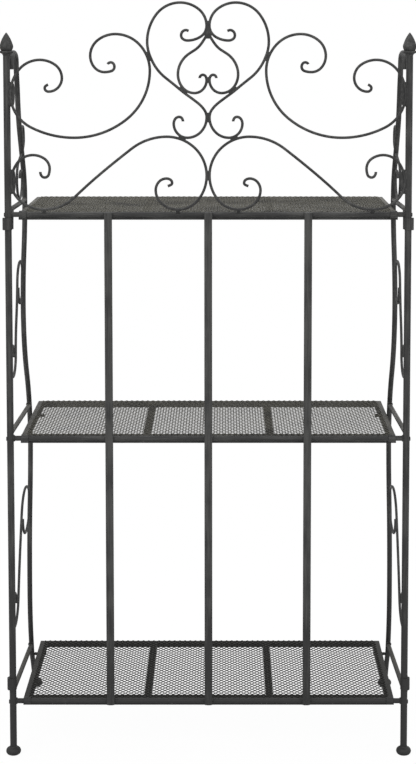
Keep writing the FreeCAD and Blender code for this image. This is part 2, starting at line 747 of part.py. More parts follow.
def shelf_knuckles(level):
    """Two strap loops round the rail, each with a tail flat against the back of the rim."""
    height = RAIL_Z[level]
    members = []
    for name, low in (("left", f"-{SHELF_WIDTH} / 2 + Sizes.knuckle_inset"),
                      ("right", f"{SHELF_WIDTH} / 2 - Sizes.knuckle_inset - Sizes.knuckle_width")):
        name = f"{level}_{name}"
        width = "Sizes.knuckle_width"
        axis = (low, RAIL_Y, height)
        loop = cylinder(f"{name}_loop", f"2 * {KNUCKLE_RADIUS}", width, axis, ACROSS)
        tail = box(f"{name}_tail", (width, "Sizes.knuckle_wall", "Sizes.knuckle_tail"),
                   (low, f"{SHELF_BACK} - Sizes.knuckle_wall", f"{height} - Sizes.knuckle_tail"))
        eye = cylinder(f"{name}_eye", "Sizes.rail_dia + 2 * Sizes.knuckle_play", width, axis, ACROSS)
        members.append(cut(f"{name}_knuckle", fuse(f"{name}_strap", loop, tail), eye))
    return group(f"{level}_knuckles", members)


def shelves():
    sheet_metal = mesh_sheet()
    knuckle_radius = rail_radius + size("knuckle_play") + size("knuckle_wall")
    for level in levels:
        flange_top = f"({RAIL_Z[level]} + Sizes.rail_dia / 2 - Sizes.mesh_drop - Sizes.mesh_thickness)"
        keep(f"{level}_shelf_rim", shelf_rim(level, flange_top))
        mesh_low = rail_heights[level] + rail_radius - size("mesh_drop") - size("mesh_thickness")
        mesh = feature(f"{level}_mesh", sheet_metal)
        corner = Vector(0, rail_y + knuckle_radius + size("mesh_margin"), mesh_low)
        mesh.Placement = Placement(corner, Rotation())
        keep(f"{level}_shelf_mesh", mesh)
        keep(f"{level}_shelf_slats", shelf_slats(level, flange_top))
        keep(f"{level}_shelf_knuckles", shelf_knuckles(level))


back_post()
finial()
both_sides("rear_foot", bun_foot("rear_foot_left", f"-{POST_X}", POST_Y))
rails()
back_bars()
crown()
side_frames()
front_bun = bun_foot("front_bun", LEG_X, f"-({POST_Y})")
both_sides("front_foot", cut("front_foot_left", front_bun, pieces["left_front_leg"]))
shelves()
doc.recompute()

# Every object has to be sound before anything is written
for thing in doc.Objects:
    if "Invalid" in thing.State or "Error" in thing.State:
        raise RuntimeError(f"{thing.Label} did not compute")
for label, piece in pieces.items():
    if piece.Shape.isNull() or not piece.Shape.isValid():
        raise RuntimeError(f"{label} has no sound shape")

os.makedirs("parts", exist_ok=True)
for label, piece in pieces.items():
    piece.Shape.exportStep(f"parts/{label}.step")
print(len(pieces), "pieces written")
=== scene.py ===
"""Looks of the folding bakers rack: expanded-metal nets, weld beads and a hand-rubbed black finish."""

import math

import bmesh
import bpy
import numpy as np
from bpy.props import FloatProperty, FloatVectorProperty, IntProperty, PointerProperty
from mathutils import Matrix, Vector
from mathutils.bvhtree import BVHTree


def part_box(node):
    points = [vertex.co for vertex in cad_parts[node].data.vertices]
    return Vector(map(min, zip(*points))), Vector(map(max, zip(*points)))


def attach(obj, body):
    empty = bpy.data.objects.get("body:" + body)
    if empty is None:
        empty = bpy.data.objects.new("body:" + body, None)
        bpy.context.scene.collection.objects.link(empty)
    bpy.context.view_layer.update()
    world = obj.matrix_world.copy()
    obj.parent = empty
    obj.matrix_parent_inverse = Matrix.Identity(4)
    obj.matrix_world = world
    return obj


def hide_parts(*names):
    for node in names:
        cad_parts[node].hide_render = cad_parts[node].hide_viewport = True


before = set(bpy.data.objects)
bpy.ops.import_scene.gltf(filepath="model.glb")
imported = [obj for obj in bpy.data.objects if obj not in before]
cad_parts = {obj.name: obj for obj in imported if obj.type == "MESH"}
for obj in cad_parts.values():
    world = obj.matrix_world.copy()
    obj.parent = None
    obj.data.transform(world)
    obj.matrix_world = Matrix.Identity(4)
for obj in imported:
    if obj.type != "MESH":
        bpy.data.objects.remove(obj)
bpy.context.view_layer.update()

bl_info = {
    "name": "Bakers rack looks",
    "version": (1, 0, 0),
    "blender": (4, 5, 0),
    "location": "3D View > Sidebar > Rack",
    "description": "Dresses the folding bakers rack with nets, welds and finishes",
    "category": "Object",
}

LEVELS = ("top", "middle", "bottom")
SIDES = ("left", "right")
BACK_BARS = ("left_back_bar", "centre_back_bar", "right_back_bar")
MM = 0.001
ACROSS = Vector((1, 0, 0))
FORWARD = Vector((0, 1, 0))
UP = Vector((0, 0, 1))
WHITE = (1, 1, 1, 1)


# Settings that a user would change
def length_setting(name, description, millimetres):
    """A length that is given in millimetres."""
    return FloatProperty(name=name, description=description, default=millimetres * MM, unit="LENGTH")


def colour_setting(name, description, shade):
    """A colour that is given as red, green and blue."""
    return FloatVectorProperty(
        name=name, description=description, subtype="COLOR", size=3, min=0, max=1, default=shade)


class RackNetSettings(bpy.types.PropertyGroup):
    """Sizes of the expanded metal on the shelves."""

    pitch_across: length_setting("Pitch across", "Gap to gap along the rack's width", 10.7)
    pitch_along: length_setting("Pitch along", "Gap to gap along the shelf's depth", 13.5)
    strand: length_setting("Strand", "Width of one strand", 1.45)
    thickness: length_setting("Thickness", "Thickness of the sheet before it was slit", 0.9)
    twist: FloatProperty(
        name="Twist", description="How far the strands are turned out of the sheet",
        default=math.radians(2.5), subtype="ANGLE")
    blunt: length_setting("Blunt tip", "How far the tips of the gaps are cut back", 0.7)
    end_margin: length_setting(
        "End margin", "How far the net stays inside the rim at the rack's two sides", 9.5)
    edge_margin: length_setting(
        "Edge margin", "How far the net stays inside the rim at front and back", 2.4)


class RackWeldSettings(bpy.types.PropertyGroup):
    """Sizes of the weld beads."""

    seam_length: length_setting("Seam length", "Length of a bead between two scroll rods", 18.0)
    seam_width: length_setting("Seam width", "Width of a bead across two scroll rods", 6.0)
    seam_depth: length_setting("Seam depth", "Thickness of a bead between two scroll rods", 4.4)
    post_seam_length: length_setting(
        "Post seam length", "Length of a bead between a scroll rod and a post", 46.0)
    post_seam_width: length_setting(
        "Post seam width", "Width of a bead between a scroll rod and a post", 13.0)
    collar_wall: length_setting("Collar wall", "Thickness of the bead round the end of a bar", 1.7)
    ripple: length_setting("Ripple", "Depth of the ripples round a collar", 0.16)


class RackFinishSettings(bpy.types.PropertyGroup):
    """Colours of the metal."""

    black: colour_setting("Black", "Paint in the hollows", (0.020, 0.020, 0.020))
    rubbed: colour_setting("Rubbed", "Paint where cloths and hands have rubbed it", (0.050, 0.050, 0.048))
    bare: colour_setting("Bare", "Small scratches down to the metal", (0.110, 0.106, 0.096))
    # The umber is the wash colour on up-facing faces; on the upper nets it is brightened as painted top
    # light
    umber: colour_setting("Umber", "Brown wash on the shelves", (0.052, 0.049, 0.038))


class RackStageSettings(bpy.types.PropertyGroup):
    """The camera that takes the photo's view."""

    camera_place: FloatVectorProperty(
        name="Camera", description="Where the camera stands", subtype="TRANSLATION", size=3,
        default=(0.0296, -3.4732, 1.3526))
    camera_pitch: FloatProperty(
        name="Pitch", description="How far the camera looks down",
        default=math.radians(4.9785), subtype="ANGLE")
    focal_pixels: FloatProperty(
        name="Focal length", description="Focal length in pixels of the picture", default=1802.5)
    picture_height: IntProperty(
        name="Picture height", description="Long side of the picture in pixels", default=764)
    shift: FloatVectorProperty(
        name="Shift", description="Lens shift across and up", size=2, default=(-0.0213, -0.25))


# Shader maths
class Wire:
    """A shader socket that can be written in sums."""

    def __init__(self, finish, socket):
        self.finish = finish
        self.socket = socket

    def sum(self, operation, first, second):
        return self.finish.node("ShaderNodeMath", {0: first, 1: second}, operation=operation)

    def __add__(self, other):
        return self.sum("ADD", self, other)

    def __radd__(self, other):
        return self.sum("ADD", other, self)

    def __sub__(self, other):
        return self.sum("SUBTRACT", self, other)

    def __rsub__(self, other):
        return self.sum("SUBTRACT", other, self)

    def __mul__(self, other):
        return self.sum("MULTIPLY", self, other)

    def __rmul__(self, other):
        return self.sum("MULTIPLY", other, self)

    def or_else(self, other):
        """The larger of two masks."""
        return self.sum("MAXIMUM", self, other)


class Finish:
    """A node tree that is filled through one method."""

    def __init__(self, tree):
        self.tree = tree
        self.tree.nodes.clear()

    def node(self, kind, sockets=None, out=0, **settings):
        """Adds a node, sets it, then fills its sockets with values or wires."""
        made = self.tree.nodes.new(kind)
        for name, value in settings.items():
            setattr(made, name, value)
        for name, value in (sockets or {}).items():
            if isinstance(value, Wire):
                self.tree.links.new(value.socket, made.inputs[name])
            else:
                made.inputs[name].default_value = value
        return Wire(self, made.outputs[out]) if made.outputs else None

    def coordinates(self, kind):
        """Places or directions on the surface."""
        return self.node("ShaderNodeTexCoord", out=kind)

    def upright_part(self, vector):
        """How far a place or direction goes up."""
        return self.node("ShaderNodeSeparateXYZ", {"Vector": vector}, out="Z")

    def ray(self, kind):
        """1 for rays of one kind, 0 for the others."""
        return self.node("ShaderNodeLightPath", out=kind)

    def noise(self, where, scale, detail, rough=0.5):
        """Cloudy variation between 0 and 1."""
        return self.node("ShaderNodeTexNoise", {
            "Vector": where, "Scale": scale, "Detail": detail, "Roughness": rough})

    def stretched(self, where, amounts):
        """Coordinates squeezed so that a pattern runs along the metal."""
        return self.node("ShaderNodeMapping", {"Vector": where, "Scale": amounts})

    def step(self, value, low, high):
        """A soft threshold from 0 at low to 1 at high."""
        return self.node(
            "ShaderNodeMapRange", {"Value": value, "From Min": low, "From Max": high},
            interpolation_type="SMOOTHSTEP")

    def blend(self, share, first, second):
        """One colour fading into another, by the numbers of a Mix node's colour sockets."""
        return self.node("ShaderNodeMix", {0: share, 6: first, 7: second}, out=2, data_type="RGBA")


# Paint: how fine its patterns are
CLOUD_SCALE = 16.0
HAMMER_SCALE = 120.0
STREAK_SCALE = 260.0
PEEL_SCALE = 520.0
SPECK_SCALE = 1500.0

# Paint: where a pattern, a slope or a height starts to count and where it counts in full
RUB_RANGE = (0.42, 0.66)
SCRATCH_RANGE = (0.60, 0.72)
SCRATCHED_PATCH_RANGE = (0.45, 0.70)
# Up-facing slopes get the umber wash, which makes tops lighter: partly a real brown wash, partly painted top
# light
TOP_FACE_RANGE = (0.25, 0.9)
WASH_RANGE = (0.2, 0.6)
HANDLED_HEIGHTS = (0.0, 0.5)

# Paint: how strongly hands rub it, how much wash is everywhere, and how rough it feels
HANDLED_RUB = 0.16
WASH_EVERYWHERE = 0.25
BUMP_STRENGTH = 0.45
BUMP_DISTANCE = 0.4 * MM

# Squeeze of the coordinates, so that streaks run along the metal
ALONG_POST = (1.0, 1.0, 0.06)
ALONG_RAIL = (0.06, 1.0, 1.0)
ALONG_SIDE_BAR = (1.0, 0.08, 1.0)
ALONG_RIM = (0.08, 0.3, 1.0)
ALONG_SCROLL = (0.5, 0.5, 0.5)
ALONG_STRAND = (0.6, 0.6, 0.6)
CAST_GRAIN = (0.7, 0.7, 0.7)

RECIPES = {
    "upright_black": dict(grain=ALONG_POST),
    "back_bar_black": dict(grain=ALONG_POST, lift=0.07),
    "rail_black": dict(grain=ALONG_RAIL),
    "side_bar_black": dict(grain=ALONG_SIDE_BAR, lift=0.05, brown=0.4),
    "scroll_black": dict(grain=ALONG_SCROLL),
    # The top, middle and bottom rims and nets are lit and shaded copies of one finish: lift, brown wash and
    # gleam fall from the top level to the bottom as painted light above and painted shade from the shelves
    # overhead
    "top_rim_umber": dict(grain=ALONG_RIM, lift=0.03, brown=0.8),
    "middle_rim_umber": dict(grain=ALONG_RIM, lift=-0.02, brown=0.5),
    "bottom_rim_umber": dict(grain=ALONG_RIM, lift=-0.07, brown=0.15, gleam=0.22),
    "top_net_umber": dict(grain=ALONG_STRAND, lift=0.06, brown=1.0, painted_top_light=1.4, gleam=0.25),
    "middle_net_umber": dict(grain=ALONG_STRAND, lift=0.04, brown=1.0, painted_top_light=0.7, gleam=0.20),
    "bottom_net_umber": dict(grain=ALONG_STRAND, lift=-0.08, brown=0.2, gleam=0.08),
    "cast_black": dict(grain=CAST_GRAIN, lift=0.02, pits=0.8),
    "weld_black": dict(grain=ALONG_STRAND, lift=-0.03, pits=0.6),
}

# The finish of each CAD piece, by the first of these words that its name holds
SHELF_FINISHES = tuple(
    (f"{level}_shelf_{part}", f"{level}_{finish}") for level in LEVELS
    for part, finish in (("rim", "rim_umber"), ("slats", "rim_umber"), ("mesh", "net_umber")))
PIECE_FINISHES = SHELF_FINISHES + (
    ("finial", "cast_black"), ("foot", "cast_black"), ("rail", "rail_black"),
    ("post", "upright_black"), ("back_bar", "back_bar_black"), ("leg", "upright_black"),
    ("sleeves", "upright_black"), ("knuckles", "rail_black"), ("pins", "rail_black"),
    ("_bar", "side_bar_black"), ("scroll", "scroll_black"), ("heart", "scroll_black"),
)


def opaque(colour):
    """A colour with its alpha."""
    return (*colour, 1.0)


def metal_finish(name, grain, lift=0.0, brown=0.0, painted_top_light=0.0, pits=0.0, gleam=0.35):
    """Hand-rubbed black paint over iron, with its streaks drawn along the grain, and an umber wash on
    up-facing faces that is partly painted top light.
    """
    shades = bpy.context.scene.rack_finish
    material = bpy.data.materials.new(name)
    material.use_nodes = True
    finish = Finish(material.node_tree)
    where = finish.coordinates("Object")
    upward = finish.upright_part(finish.coordinates("Normal"))
    handled = finish.step(finish.upright_part(where), *HANDLED_HEIGHTS)
    clouds = finish.noise(where, CLOUD_SCALE, 3.0)
    streaks = finish.noise(finish.stretched(where, grain), STREAK_SCALE, 4.0, 0.6)
    peel = finish.noise(where, PEEL_SCALE, 2.0)
    hammer = finish.noise(where, HAMMER_SCALE, 2.0)
    specks = finish.noise(where, SPECK_SCALE, 1.0)
    hand = handled * HANDLED_RUB + (lift - HANDLED_RUB)
    rub = finish.step(streaks * 0.6 + clouds * 0.4 + hand, *RUB_RANGE)
    scratches = finish.step(streaks * 0.7 + specks * 0.3, *SCRATCH_RANGE)
    worn = scratches * finish.step(clouds, *SCRATCHED_PATCH_RANGE)
    paint = finish.blend(rub, opaque(shades.black), opaque(shades.rubbed))
    cover = brown * finish.step(clouds, *WASH_RANGE) + WASH_EVERYWHERE * brown
    # The umber wash lies only on up-facing faces: partly a real brown wash, partly painted top light that
    # makes the tops lighter
    wash = finish.step(upward, *TOP_FACE_RANGE) * cover
    # The wash's umber is brightened on the upper nets: a painted top light, as if the strands were lit from
    # above
    paint_with_wash_and_top_light = finish.blend(wash, paint, opaque(shade * (1 + painted_top_light) for shade in shades.umber))
    colour = finish.blend(worn * (0.2 + handled * 0.4), paint_with_wash_and_top_light, opaque(shades.bare))
    height = peel * 0.35 + hammer * (0.4 + pits) + specks * (0.1 + 0.5 * pits)
    bump = finish.node("ShaderNodeBump", {
        "Strength": BUMP_STRENGTH, "Distance": BUMP_DISTANCE, "Height": height})
    shader = finish.node("ShaderNodeBsdfPrincipled", {
        "Base Color": colour,
        "Roughness": 0.62 - rub * 0.12 - worn * 0.10 + hammer * 0.06,
        "Metallic": worn * 0.5 + 0.05,
        "Specular IOR Level": gleam,
        "Normal": bump,
    })
    finish.node("ShaderNodeOutputMaterial", {"Surface": shader})
    return material


def dress(thing, finish_name):
    """Puts one finish on a piece; each finish is made once."""
    material = bpy.data.materials.get(finish_name) or metal_finish(finish_name, **RECIPES[finish_name])
    thing.data.materials.clear()
    thing.data.materials.append(material)


# Mesh editing
def clear_selection():
    """Leaves nothing selected."""
    bpy.ops.object.select_all(action="DESELECT")


def choose(test, kind="verts"):
    """Selects what passes a test in the mesh that is being edited."""
    shell = bmesh.from_edit_mesh(bpy.context.object.data)
    bpy.ops.mesh.select_all(action="DESELECT")
    bpy.context.tool_settings.mesh_select_mode = (kind == "verts", kind == "edges", kind == "faces")
    for item in getattr(shell, kind):
        item.select = bool(test(item))
    shell.select_flush_mode()
    bmesh.update_edit_mesh(bpy.context.object.data)


def apply_modifier(kind, **settings):
    """Adds one modifier to the active piece and applies it."""
    piece = bpy.context.object
    bpy.ops.object.modifier_add(type=kind)
    modifier = piece.modifiers[-1]
    for name, value in settings.items():
        setattr(modifier, name, value)
    bpy.ops.object.modifier_apply(modifier=modifier.name)


# Expanded metal: neighbouring corners closer than this are one
REPEAT_MERGE = 0.01 * MM


def repeat(count, step):
    """Repeats the active piece along a step."""
    apply_modifier(
        "ARRAY", count=count, use_relative_offset=False, use_constant_offset=True,
        constant_offset_displace=step, use_merge_vertices=True, merge_threshold=REPEAT_MERGE)


def net_diamond(name, net):
    """One gap of the net with half of each strand round it, its inner edge twisted out of the sheet."""
    clear_selection()
    bpy.ops.mesh.primitive_circle_add(vertices=4, radius=0.5, fill_type="NGON")
    cell = bpy.context.object
    cell.name = name
    cell.data.name = name
    bpy.ops.object.mode_set(mode="EDIT")
    bpy.ops.mesh.select_all(action="SELECT")
    bpy.ops.transform.resize(value=(net.pitch_across, net.pitch_along, 1), center_override=(0, 0, 0))
    bpy.ops.mesh.inset(thickness=net.strand / 2)
    bpy.ops.transform.rotate(value=net.twist, orient_axis="Y", center_override=(0, 0, 0))
    # The gap's own two tips lie on the middle line, inside the tips of the cell
    tip = net.pitch_along / 2
    nearest, farthest = (tip - net.strand) / 2, tip - 0.1 * net.strand
    choose(lambda v: abs(v.co.x) < net.strand / 4 and nearest < abs(v.co.y) < farthest)
    bpy.ops.mesh.bevel(offset=net.blunt, affect="VERTICES", segments=1)
    choose(lambda f: f.calc_center_median().length < net.strand / 2, kind="faces")
    bpy.ops.mesh.delete(type="FACE")
    bpy.ops.object.mode_set(mode="OBJECT")
    return cell


def net_sheet(name, low, high, net):
    """Expanded metal: the diamond is repeated both ways, trimmed to the rim and given its thickness."""
    cell = net_diamond(name, net)
    across = math.ceil((high.x - low.x) / net.pitch_across) + 1
    along = math.ceil((high.y - low.y) / net.pitch_along) + 1
    repeat(2, (net.pitch_across / 2, net.pitch_along / 2, 0))
    repeat(across, (net.pitch_across, 0, 0))
    repeat(along, (0, net.pitch_along, 0))
    bpy.ops.object.mode_set(mode="EDIT")
    bpy.ops.mesh.select_all(action="SELECT")
    bpy.ops.transform.translate(value=(low.x, low.y, high.z))
    for corner, outward in ((low, -ACROSS), (high, ACROSS), (low, -FORWARD), (high, FORWARD)):
        bpy.ops.mesh.select_all(action="SELECT")
        bpy.ops.mesh.bisect(plane_co=corner, plane_no=outward, clear_outer=True)
    bpy.ops.object.mode_set(mode="OBJECT")
    apply_modifier("SOLIDIFY", thickness=net.thickness, offset=0.0)
    return cell


# Where the frame's pieces meet: how far round a place a rod's run and a bar's end are read
ROD_REACH = 14 * MM
BAR_REACH = 8 * MM


def middle_of(node):
    """Middle of the box round one CAD piece."""
    low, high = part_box(node)
    return (low + high) / 2


def node_points(node):
    """Corners of one CAD piece as rows of x, y, z."""
    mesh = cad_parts[node].data
    points = np.empty(len(mesh.vertices) * 3, np.float32)
    mesh.vertices.foreach_get("co", points)
    return points.reshape(-1, 3).astype(float)


def meeting(rod, other, lowest=-math.inf, highest=math.inf):
    """Middle of the narrowest gap between a bent rod and another CAD piece, within a range of heights."""
    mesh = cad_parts[other].data
    tree = BVHTree.FromPolygons([v.co for v in mesh.vertices], [tuple(f.vertices) for f in mesh.polygons])
    points = node_points(rod)
    points = points[(points[:, 2] >= lowest) & (points[:, 2] <= highest)]
    nearest = min(points, key=lambda point: tree.find_nearest(point)[3])
    return (Vector(nearest) + tree.find_nearest(nearest)[0]) / 2


def spread_of(node, place, reach):
    """Middle and main directions, narrowest first, of a CAD piece's corners near a place."""
    points = node_points(node)
    near = points[np.linalg.norm(points - np.array(place), axis=1) < reach]
    ways = np.linalg.eigh(np.cov((near - near.mean(0)).T))[1]
    return Vector(near.mean(0)), [Vector(way) for way in ways.T]


def run_of(node, place):
    """The direction in which a bent rod runs near a place."""
    return spread_of(node, place, ROD_REACH)[1][-1]


def bar_end(node, place):
    """Centre of the end of a bar at a place, and the way the bar points there."""
    middle, ways = spread_of(node, place, BAR_REACH)
    return middle, ways[0]


# Weld beads
def millimetres(*lengths):
    """Lengths in metres from lengths in millimetres."""
    return tuple(length * MM for length in lengths)


# Sizes of the small beads: across, deep and along
POST_BEAD = millimetres(2.6, 5.0, 7.0)
BAR_EDGE_BEAD = millimetres(3.0, 3.6, 7.5)
BAR_FOOT_BEAD = millimetres(3.2, 5.0, 9.0)
SLEEVE_BEAD = millimetres(4.0, 5.0, 17.0)

# The web over the pear: its width, its length and its middle's rise above the pear
WEB_WIDTH, WEB_LENGTH, WEB_RISE = millimetres(13.0, 19.0, 4.0)

# Ties from the lower scrolls to the top rail: width, depth, and how much longer than the gap they are
TIE_WIDTH, TIE_DEPTH, TIE_OVERLAP = millimetres(6.5, 3.4, 4.0)
# A tie starts this far above the underside of its scroll
TIE_RISE = 2.0 * MM
# A tie lands this share of the rail's radius above the rail's middle and behind it
TIE_SLANT = 0.7
# Distances from the rack's middle between which a lower scroll dips to the rail
DIPS = ((0.0, 0.15), (0.2, 0.36))

BEAD_CUTS = 7
SEAM_ROUNDS = 3
LENS_ROUNDS = 16
COLLAR_SEGMENTS = 20
COLLAR_WALL_SEGMENTS = 8
SIDE_COLLAR_RADIUS = 4.3 * MM
# Below this sine two directions count as parallel
PARALLEL = 0.01


def bead(rounds=SEAM_ROUNDS):
    """A run of weld, one unit along Z and one across; more rounds of smoothing make it a lens."""
    clear_selection()
    bpy.ops.mesh.primitive_cube_add(size=1)
    blob = bpy.context.object
    blob.name = "weld_bead"
    bpy.ops.object.mode_set(mode="EDIT")
    bpy.ops.mesh.select_all(action="SELECT")
    bpy.ops.mesh.subdivide(number_cuts=BEAD_CUTS)
    bpy.ops.mesh.vertices_smooth(factor=0.5, repeat=rounds)
    bpy.ops.object.mode_set(mode="OBJECT")
    bpy.ops.object.shade_smooth()
    return blob


def collar(weld, radius):
    """A rippled ring of weld round the end of a bar, its axis along Z."""
    clear_selection()
    bpy.ops.mesh.primitive_torus_add(
        major_segments=COLLAR_SEGMENTS, minor_segments=COLLAR_WALL_SEGMENTS,
        major_radius=radius, minor_radius=weld.collar_wall)
    ring = bpy.context.object
    ring.name = "weld_collar"
    segment = math.tau / COLLAR_SEGMENTS
    bpy.ops.object.mode_set(mode="EDIT")
    choose(lambda v: round(math.atan2(v.co.y, v.co.x) / segment) % 2)
    bpy.ops.transform.shrink_fatten(value=-weld.ripple)
    bpy.ops.object.mode_set(mode="OBJECT")
    bpy.ops.object.shade_smooth()
    return ring


def facing(along, outward=FORWARD):
    """Axes for a bead: Z along the seam, Y towards outward."""
    z = along.normalized()
    x = outward.cross(z)
    if x.length < PARALLEL:
        x = ACROSS.cross(z)
    x.normalize()
    return Matrix((x, z.cross(x), z)).transposed().to_4x4()


def placed(model, place, turn, lengths=(1, 1, 1)):
    """A copy of a bead with its own mesh, set at its place."""
    copy = model.copy()
    copy.data = model.data.copy()
    copy.data.transform(Matrix.Translation(place) @ turn @ Matrix.Diagonal((*lengths, 1)))
    bpy.context.collection.objects.link(copy)
    return copy


def seam_size(weld, width=1.0, length=1.0):
    """Size of a seam between two rods, as shares of the usual width and length."""
    return (weld.seam_width * width, weld.seam_depth, weld.seam_length * length)


def joined(name, beads, body):
    """Joins the beads of one body into one piece that rides with it."""
    clear_selection()
    for item in beads:
        item.select_set(True)
    bpy.context.view_layer.objects.active = beads[0]
    bpy.ops.object.join()
    piece = bpy.context.object
    piece.name = name
    piece.data.name = name
    dress(piece, "weld_black")
    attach(piece, body)


def discard(*models):
    """Takes the pattern beads away once they are copied."""
    for model in models:
        bpy.data.objects.remove(model)


# Operators
class RACK_OT_finishes(bpy.types.Operator):
    """Gives every shown CAD piece its finish"""

    bl_idname = "rack.finishes"
    bl_label = "Frame finishes"

    def execute(self, context):
        for name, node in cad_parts.items():
            dress(node, next(finish for part, finish in PIECE_FINISHES if part in name))
        return {"FINISHED"}


class RACK_OT_nets(bpy.types.Operator):
    """Lays an expanded-metal net on each shelf"""

    bl_idname = "rack.nets"
    bl_label = "Shelf nets"

    def execute(self, context):
        net = context.scene.rack_net
        inset = Vector((net.end_margin, net.edge_margin, 0))
        for level in LEVELS:
            low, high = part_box(f"{level}_shelf_rim")
            low, high = low + inset, high - inset
            high.z = middle_of(f"{level}_shelf_mesh").z
            sheet = net_sheet(f"{level}_net", low, high, net)
            dress(sheet, f"{level}_net_umber")
            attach(sheet, f"{level}_shelf")
            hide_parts(f"{level}_shelf_mesh")
        return {"FINISHED"}


class RACK_OT_back_welds(bpy.types.Operator):
    """Welds the crown scrolls, the rails and the upright bars"""

    bl_idname = "rack.back_welds"
    bl_label = "Back frame welds"

    def execute(self, context):
        weld = context.scene.rack_weld
        blob = bead()
        lens = bead(rounds=LENS_ROUNDS)
        rail_low, rail_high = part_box("top_rail")
        rail_radius = (rail_high.z - rail_low.z) / 2
        ring = collar(weld, rail_radius)
        beads = self.post_seams(lens, weld) + self.crown_seams(blob, weld)
        for level in LEVELS:
            beads += self.rail_welds(blob, ring, level)
        beads += self.bar_feet(blob) + self.rail_ties(blob, rail_radius)
        joined("back_welds", beads, "back_frame")
        discard(blob, lens, ring)
        return {"FINISHED"}

    def post_seams(self, lens, weld):
        """Long seams where scrolls lie against the posts."""
        lengths = (weld.post_seam_width, weld.seam_depth, weld.post_seam_length)
        beads = []
        for side, inward in (("left", 1), ("right", -1)):
            for rod in ("outer_scroll", "lower_scroll"):
                place = meeting(f"{side}_{rod}", f"{side}_back_post")
                place.x += inward * weld.post_seam_width / 4
                beads.append(placed(lens, place, facing(UP), lengths))
        return beads

    def crown_seams(self, blob, weld):
        """Seams where the crown's rods meet, and the wide web that ties the pear's top to the heart."""
        seam = seam_size(weld)
        short = seam_size(weld, width=1.2, length=0.6)
        broad = seam_size(weld, width=1.5, length=0.8)
        heart_upper = {"lowest": middle_of("left_heart_rod").z}
        heart_lower = {"highest": middle_of("left_heart_rod").z}
        pear_lower = {"highest": middle_of("left_pear_scroll").z}
        seams = [
            ("left_heart_rod", "right_heart_rod", heart_upper, seam),
            ("left_heart_rod", "right_heart_rod", heart_lower, seam),
            ("left_pear_scroll", "right_pear_scroll", pear_lower, short),
            ("left_lower_scroll", "right_lower_scroll", {}, seam),
        ]
        for side in SIDES:
            seams += [
                (f"{side}_heart_rod", f"{side}_outer_scroll", {}, seam),
                (f"{side}_heart_rod", f"{side}_pear_scroll", pear_lower, seam),
                (f"{side}_heart_rod", f"{side}_lower_scroll", {}, broad),
            ]
        beads = []
        for first, second, heights, lengths in seams:
            place = meeting(first, second, **heights)
            beads.append(placed(blob, place, facing(run_of(first, place)), lengths))
        cleft = meeting("left_heart_rod", "right_heart_rod", **heart_upper)
        pear_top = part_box("left_pear_scroll")[1].z
        web = (WEB_WIDTH, weld.seam_depth, WEB_LENGTH)
        beads.append(placed(blob, Vector((0, cleft.y, pear_top + WEB_RISE)), facing(UP), web))
        return beads

    def rail_welds(self, blob, ring, level):
        """Collars at the ends of one rail, and beads outside the posts and beside the upright bars."""
        low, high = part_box(f"{level}_rail")
        middle = middle_of(f"{level}_rail")
        beads = []
        for end in (low.x, high.x):
            beads.append(placed(ring, Vector((end, middle.y, middle.z)), facing(ACROSS)))
        for post, outer in (("left_back_post", 0), ("right_back_post", 1)):
            place = Vector((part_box(post)[outer].x, middle_of(post).y, middle.z))
            beads.append(placed(blob, place, facing(UP), POST_BEAD))
        for bar in BACK_BARS:
            bar_low, bar_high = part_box(bar)
            for edge in (bar_low.x, bar_high.x):
                place = Vector((edge, bar_high.y, middle.z))
                beads.append(placed(blob, place, facing(UP), BAR_EDGE_BEAD))
        return beads

    def bar_feet(self, blob):
        """Beads under the upright bars."""
        beads = []
        for bar in BACK_BARS:
            low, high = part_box(bar)
            place = Vector((middle_of(bar).x, high.y, low.z))
            beads.append(placed(blob, place, facing(ACROSS), BAR_FOOT_BEAD))
        return beads

    def rail_ties(self, blob, rail_radius):
        """Short ties from the lower scrolls down to the top rail."""
        rail = middle_of("top_rail")
        landing = rail_radius * TIE_SLANT
        beads = []
        for side in SIDES:
            rod = node_points(f"{side}_lower_scroll")
            away = abs(rod[:, 0])
            for nearest, farthest in DIPS:
                dip = rod[(away > nearest) & (away < farthest)]
                start = Vector(dip[dip[:, 2].argmin()]) + TIE_RISE * UP
                seat = Vector((start.x, rail.y - landing, rail.z + landing))
                tie = seat - start
                lengths = (TIE_WIDTH, TIE_DEPTH, tie.length + TIE_OVERLAP)
                beads.append(placed(blob, (seat + start) / 2, facing(tie), lengths))
        return beads


